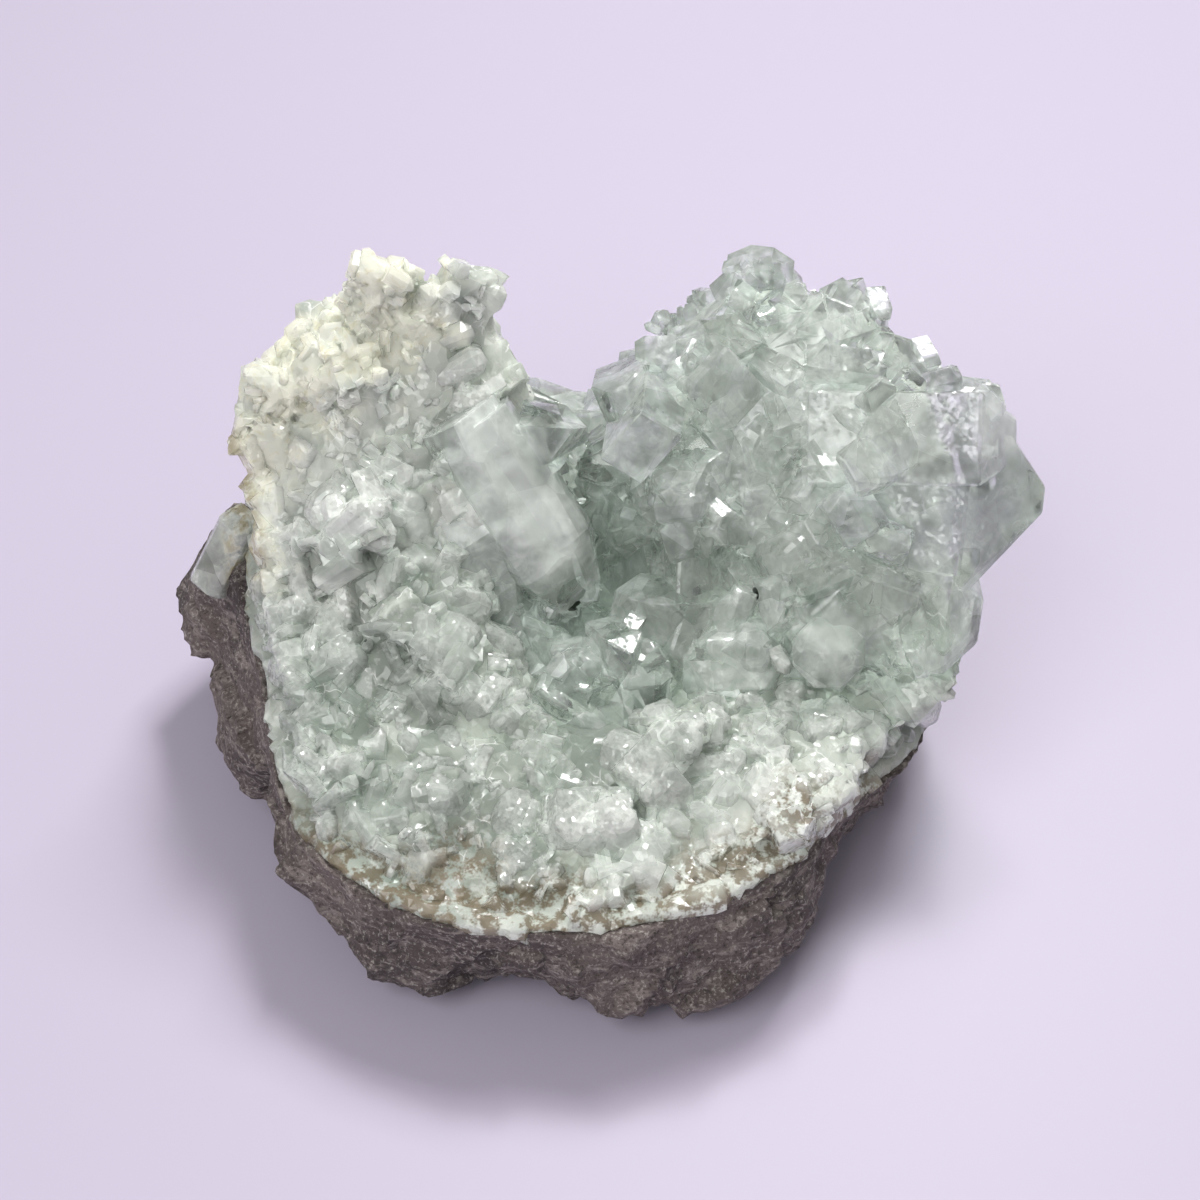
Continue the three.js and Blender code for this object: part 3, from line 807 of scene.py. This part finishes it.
def union(pieces, name):
    """The pieces grown together into one closed skin."""
    others = bpy.data.collections.new(name)
    for piece in pieces[1:]:
        others.objects.link(piece)
    whole = modified(
        pieces[0],
        "BOOLEAN",
        operation="UNION",
        operand_type="COLLECTION",
        collection=others,
        solver="MANIFOLD",
    )
    for piece in pieces[1:]:
        bpy.data.objects.remove(piece)
    bpy.data.collections.remove(others)
    whole.name = name
    whole.data.name = name
    return whole


# %% [markdown]
# ## The rind
# Marl breaks into rounded lumps with pits between them. A copy of the solid is remeshed
# finely and moved along its normals by lumps of three sizes, but not where the wall
# covers it. Plain noise would be quicker, but marl breaks in blunt facets, not in bubbles.

# %% Rind
RIND_GRAIN = 0.6


def make_rind():
    rind = merged_copy("matrix_rind", "marl_rind")
    modified(rind, "REMESH", mode="VOXEL", voxel_size=RIND_GRAIN * MM)
    place, normal = points_of(rind)[0], calm_normals(rind)
    height = facet_heights(place, 6.0, 0.16, 11) + facet_heights(place, 2.6, 0.2, 12)
    height += facet_heights(place, 1.2, 0.25, 13)
    stands = np.clip(place[:, 2] / 1.5, 0, 1)
    free = np.clip(distance_from(wall_tree, place) / 2 - 0.3, 0, 1)
    set_points(rind, place + normal * (height * stands * free)[:, None])
    modified(rind, "SMOOTH", factor=0.5, iterations=1)
    return smooth_below(rind, 35)


rind = make_rind()
settle(rind, "matrix_rind", marl)

# %% [markdown]
# ## The celestite wall
# Celestite cleaves in flat steps. Plain noise would make round lumps of it. So the copy of
# the wall is remeshed and moved by two patchworks of tilted flat facets, ledges as wide as
# a finger and chips of about two millimetres, and then thinned where it is flat.

# %% Wall
WALL_GRAIN = 0.46


def make_wall():
    wall = merged_copy("celestite_wall", "milky_wall")
    modified(wall, "REMESH", mode="VOXEL", voxel_size=WALL_GRAIN * MM)
    place, normal = points_of(wall)[0], calm_normals(wall)
    height = facet_heights(place, 6.5, 0.12, 21) + facet_heights(place, 2.2, 0.16, 22)
    near = 1 - np.clip(distance_from(rind_tree, place) - 0.6, 0, 1)
    height = np.where(near > 0, np.maximum(height, -0.35 - 0.5 * (1 - near)), height)
    sunk = 0.25 + 0.35 * np.clip((38 - place[:, 2]) / 6, 0, 1)
    set_points(wall, place + normal * (height + 0.75 * near - sunk * (1 - near))[:, None])
    return modified(wall, "DECIMATE", ratio=0.28)


wall = make_wall()
settle(wall, "celestite_wall", massive)

# %% [markdown]
# ## Crystals in the wall
# Where the wall broke, it broke across crystals, and their clear ends lie flush in the
# milky mass. They could be painted on, but their edges catch the light. So crystals are
# sown over the broken face, sunk almost to their tops, and united into one closed skin.

# %% Wall crystals
PIT = Vector((0.8, -15, 19.5))


def on_wall(place, normal):
    high = rind_tree.find_nearest(place * MM)[3] > 1 * MM
    saddle = place.x > -9 and place.y > 8
    right_edge = place.x > 32 and place.y < -3 and place.z < 24
    free = high and not saddle and not right_edge and (place - PIT).length > 4
    return free and open_to_air(place, normal, [crust_tree, rind_tree])


EDGE_CRYSTALS = [
    ((-34.6, 4.2, 23), (0.45, 0.3, 0.8), (-0.6, -0.7, 0.3), (3.8, 2.8, 5.8)),
    ((-26, 14.5, 40), (-0.6, 0.2, 0.7), (0, -1, 0.3), (3.2, 2.4, 2.4)),
    ((-28, 10, 37), (-0.8, 0, 0.5), (0, -1, 0.4), (3.2, 2.6, 2.6)),
    ((-15, 13.5, 45.5), (0.4, 0, 0.9), (0.2, -1, 0.2), (2.4, 1.8, 1.8)),
    ((-14, 13, 44.3), (0.9, 0, 0.4), (0.3, -1, 0), (2.6, 2.2, 2.2)),
    ((-13, 12, 42.5), (0.9, -0.1, 0.5), (-0.2, -0.9, 0.4), (2.2, 1.8, 2.2)),
    ((-12, 10.5, 40.5), (0.8, 0.1, 0.5), (0, -0.9, 0.5), (2.6, 2.2, 2.2)),
    ((-11.5, 9, 37.8), (0.9, -0.2, 0.2), (0, -0.7, 0.7), (2.8, 2.2, 2.8)),
]


def make_wall_crystals():
    bare = surface_samples(guides["celestite_wall"], 1500, 41, on_wall)
    high = [found for found in bare if found[0].z > 35 * MM]
    low = [found for found in bare if found[0].z <= 35 * MM]
    front = [found for found in low[:330] if found[1].dot(Vector((0, -0.7, 0.7))) > 0.3]
    big = sown(front, ("wedge", "stump", "lozenge"), (2.6, 5.2), 0.18, 0.05, 44)
    small_kinds = ("small wedge", "small wedge", "small lozenge")
    small = sown(low[300::2], small_kinds, (1.2, 3.0), 0.3, 0.08, 43)
    small += sown(high, small_kinds[1:], (0.9, 2.0), 0.2, 0.03, 45)
    edge = [great_crystal(*row, corner=0.8) for row in EDGE_CRYSTALS]
    return union(big + small + edge, "wall_crystals")


wall_crystals = make_wall_crystals()
settle(wall_crystals, None, clear_in_wall)

# %% [markdown]
# ## The crystal crust
# Clear crystals line the hollow, from a few great ones to hundreds of small. A remeshed
# solid would round their edges. So the crust starts as a copy of its solid with its root
# pushed into the wall, every great crystal is modelled again with bevelled edges at its
# true size, small ones are sown between them, and a sharp union makes them one skin.

# %% Large crystals of the crust
SMOOTH_SPOTS = {
    "great block": ((33.5, 2, 32), 9.5),
    "dome under it": ((26, -2, 28), 8),
    "smooth crystal in the middle": ((7.5, -1, 22), 6),
    "blade": ((-5, 2, 29), 8.5),
    "silvery crystal": ((21, -7, 23), 3.5),
    "saddle": ((2, 24, 23), 7),
}

# Each row: its foot, its direction, where its broad face looks, its width, thickness and
# length, then how deep its root goes, its slope and ridge as shares, and its cut corners.
GREAT_CRYSTALS = [
    # The long pale blade that lies from the left wall over the hollow, the plate along its
    # right side, and its neighbour below.
    ((-11.5, 7.2, 35.8), (9.3, -6.6, -14.5), (0.42, -0.6, 0.65), (7.6, 6, 18.6), 2, 0.25, 0.5, 1.7),
    ((-10.1, 7.5, 36.5), (9.7, -6.1, -14.2), (0.49, -0.53, 0.67), (5.2, 6, 18.0), 1, 0.3, 0.35, 1.5),
    ((-15, 8, 30), (9, -11, -9), (-0.2, -0.6, 0.8), (11, 7, 12)),
    # The great square-cornered block at the far right, and the plate along its top.
    ((24, 7.5, 29.5), (1, -0.2, 0.05), (0.05, -0.8, 0.6), (19.2, 10.2, 15.9), 7, 0.42, 0.12, 1.3),
    ((25, 9, 33.5), (1, -0.15, 0.12), (0.1, -0.75, 0.65), (8.2, 10.7, 12.1), 6, 0.25),
    # The broad smooth mass that bulges below it, and the stumps at its foot.
    ((23, 3.1, 21.2), (0.2, -0.6, 0.75), (0.3, 0.7, 0.6), (13.6, 11.6, 8.9), 3, 0.35, 0.5, 3.3),
    ((28, 0, 21), (0.9, -0.35, 0.1), (0, -0.8, 0.5), (9.2, 9.2, 6.6), 6, 0.3),
    ((26.5, -2, 15.5), (0.5, -0.4, 0.6), (0, -0.6, 0.8), (7, 5, 4.6)),
    # The stub with a striated round end, and the rounded grey crystal beside it.
    ((20.2, -2, 17.5), (0, -0.7, 0.7), (0, 1, 1), (6.4, 6.4, 7.2), 3, 0.08, 0.8, 2.0),
    ((11.5, -1, 17.5), (0.1, -0.95, 0.25), (0, 0.3, 1), (9.2, 7.2, 8.1), 3, 0.35, 0.5, 2.0),
    # The smooth crystal in the middle and the cluster behind it, rooted in the right wall.
    ((6.5, 2, 16), (-0.2, -0.45, 0.85), (-0.3, -0.9, 0.4), (8.5, 6.5, 9.5), 3, 0.3, 0.5, 2.0),
    ((9, 13, 20), (-0.35, -0.05, 0.9), (0, -0.7, 0.7), (9.2, 6.2, 10.1), 3, 0.3, 0.35, 0.8),
    ((12, 5, 19), (-0.55, -0.5, 0.65), (0.2, -0.6, 0.7), (10.2, 7.2, 9.1), 3, 0.35, 0.4, 1.0),
    ((11, 0, 17), (-0.5, -0.45, 0.6), (-0.6, -0.4, 0.6), (9.2, 8.2, 7.6)),
    ((15, 10, 26), (-0.5, -0.45, 0.7), (0.7, -0.6, 0.3), (8.2, 5.7, 7.6), 3, 0.35, 0.3, 0.6),
    ((17.5, 4, 23), (-0.2, -0.7, 0.7), (0.9, 0.1, 0.2), (8.2, 5.2, 6.6)),
    # The clear crystals along the top of the right wall.
    ((11.5, 16, 33), (-0.6, 0.1, 0.6), (0.2, -0.8, 0.5), (7.2, 5.2, 5.1), 3, 0.3, 0.5, 1.0),
    ((15, 17, 37), (-0.1, 0.15, 0.95), (0.3, -0.9, 0.2), (6.7, 5.2, 6.1), 3, 0.3, 0.5, 1.0),
    ((20.5, 16, 37.5), (0.15, 0.1, 0.95), (-0.4, -0.8, 0.3), (6.2, 4.7, 5.6), 3, 0.35, 0.4, 0.8),
    ((24.5, 15, 35.5), (0.5, 0.1, 0.8), (0.5, -0.8, 0.3), (5.7, 4.7, 5.1)),
    # The dark tablets on the low back wall.
    ((6, 25, 16), (0.1, -0.2, 0.95), (0.1, -0.9, 0.2), (12.2, 6.2, 8.1), 3, 0.15, 0.7),
    ((-1.5, 25, 17), (-0.15, -0.15, 0.95), (-0.2, -0.9, 0.2), (6.7, 5.2, 7.1)),
    ((-6, 19, 17), (0.15, -0.25, 0.9), (0.4, -0.8, 0.2), (7.2, 5.2, 8.6), 3, 0.35, 0.1),
]

# Broken ends that roughen the top and the left corner of the great block.
CHIPS = [
    ((24.5, 8, 38.2), (-0.3, -0.3, 0.9), (0.3, -0.8, 0.4), (3.6, 2.4, 3.0)),
    ((27, 9, 39.2), (0.3, -0.2, 0.9), (-0.4, -0.8, 0.3), (3.0, 2.0, 2.2)),
    ((30, 9, 39.6), (-0.2, 0, 0.9), (0.1, -0.9, 0.4), (3.4, 2.2, 1.8)),
    ((23.5, 3, 35.5), (-0.6, -0.6, 0.4), (-0.2, -0.6, 0.8), (4.5, 3.0, 3.2)),
    ((22.5, 1, 32), (-0.6, -0.7, 0.2), (0.3, -0.5, 0.8), (5.0, 3.5, 3.4)),
    ((25, -0.5, 30), (-0.3, -0.9, 0.1), (0.1, -0.3, 0.9), (4.5, 3.0, 2.6)),
    ((33.5, 7, 39), (0.5, -0.2, 0.8), (-0.2, -0.9, 0.4), (3.2, 2.0, 1.6)),
]

# Small crystals whose level broad face mirrors the lamp: place, heading in degrees, width.
GLINTS = [
    ((13.6, 14.7, 43.6), 230, 2.6), ((15.5, 13.5, 43), 300, 2.0), ((26, 15.5, 42), 280, 1.8),
    ((16.3, 6.6, 34.9), 260, 2.6), ((21.4, 2.7, 34.8), 290, 2.8), ((19, 4, 33), 250, 2.4),
    ((24, 6.5, 36.5), 300, 2.0), ((8, 12.5, 37.5), 220, 2.0), ((3.2, -5.5, 22.3), 240, 1.6),
    ((3.5, 7.8, 24.5), 250, 1.4), ((5.5, 9.5, 27.5), 270, 1.4), ((10, 9, 31), 240, 1.6),
    ((12, 12, 36), 260, 1.5), ((18, 10, 38), 250, 1.6), ((9, -3.5, 22.5), 265, 1.4),
    ((30, 11, 40.2), 290, 1.6), ((14, 1, 26.5), 250, 1.6), ((7.5, 3, 26), 240, 1.5),
]


# %% Crust
ROOT_REACH = 0.9
TOUCHING = 0.5


def glint_crystal(place, heading, width):
    """A flat crystal that lies with its broad face up, tilted to mirror the lamp."""
    face = Vector((0.065, -0.114, 0.991))
    way = math.radians(heading)
    along = Vector((math.cos(way), math.sin(way), 0))
    turn = frame_of(along - face * along.dot(face), face)
    size = (width, width * 0.55, width * 1.5)
    shape = "wedge" if width < 1.8 else "chisel"
    return copy_of(shape, Vector(place) - along * width * 0.9, turn, size)


def on_crust(place, normal):
    """Bare crust, but not the large smooth crystals."""
    spots = SMOOTH_SPOTS.values()
    smooth = any((place - Vector(centre)).length < radius for centre, radius in spots)
    outer = (place.x < 2 and place.z > 30) or (place.x > 30 and place.z < 27)
    nearest = wall_tree.find_nearest(place * MM)[3]
    bare = nearest > 0.9 * MM and not smooth and not outer
    return bare and open_to_air(place, normal, [crust_tree])


# Parts of the solid that stand too far out: their middle, how wide they are, the way back.
MISFITS = [
    ((-4.5, 8, 39), 8, (0, 0, -3.6)),
    ((2.5, 14, 37.5), 9, (0, 0, -5.5)),
    ((15, 17, 47), 7, (0, 0, -2.4)),
    ((33.5, -9, 20.5), 8, (-3.5, 2.0, 0)),
    ((33, -10.5, 19.5), 7, (-3.0, 2.5, 0.5)),
]


def eased_back(place):
    """Moves the parts that stand too far out, most in their middle."""
    steep = 1.6
    for centre, radius, way in MISFITS:
        apart = np.linalg.norm(place - centre, axis=1)
        share = np.clip(steep * (1 - apart / radius), 0, 1)
        place = place + share[:, None] * np.array(way)
    return place


def rooted(piece):
    """Pushes the hidden side of the crust into the wall."""
    place = eased_back(points_of(piece)[0])
    for number, point in enumerate(place):
        near, facing, _, distance = wall_tree.find_nearest(Vector(point) * MM)
        if distance < TOUCHING * MM:
            place[number] = np.array(near - facing * ROOT_REACH * MM) / MM
    set_points(piece, place)
    return piece


OVER_THE_EDGE = Vector((30.8, -8.6, 19.8))
OVER_THE_EDGE_REACH = 2.0


def without_loose(copies):
    """The copies but for those that would stand out past the right edge, which go."""
    kept = []
    for copy in copies:
        middle = points_of(copy)[0].mean(0)
        if (Vector(middle) - OVER_THE_EDGE).length > OVER_THE_EDGE_REACH:
            kept.append(copy)
        else:
            bpy.data.objects.remove(copy)
    return kept


def make_crust():
    crust = rooted(merged_copy("crystal_crust", "clear_crust"))
    bare = surface_samples(guides["crystal_crust"], 560, 31, on_crust)
    low = [found for found in bare[:260] if found[0].z < 39 * MM and found[0].y < 14 * MM]
    large_kinds = ("chisel", "lozenge", "wedge", "stump", "chisel")
    small_kinds = ("small chisel", "small lozenge", "small wedge")
    druse = without_loose(sown(low[:150], large_kinds, (3.0, 6.0), 0.4, 0.14, 32))
    small = sown(bare[300:], small_kinds, (0.9, 2.6), 0.6, 0.3, 33)
    chips = [great_crystal(*row, 1, 0.4, 0.5, 0.4) for row in CHIPS]
    glints = [glint_crystal(*row) for row in GLINTS]
    great = [great_crystal(*row) for row in GREAT_CRYSTALS]
    plates = [growth_plate(*row) for row in GREAT_CRYSTALS[8:]]
    return union([crust, *druse, *small, *great, *plates, *glints, *chips], "clear_crust")


crust = make_crust()
settle(crust, "crystal_crust", clear)

# %% Clear the bench
for helper in [*guides.values(), *shapes.values()]:
    bpy.data.objects.remove(helper)
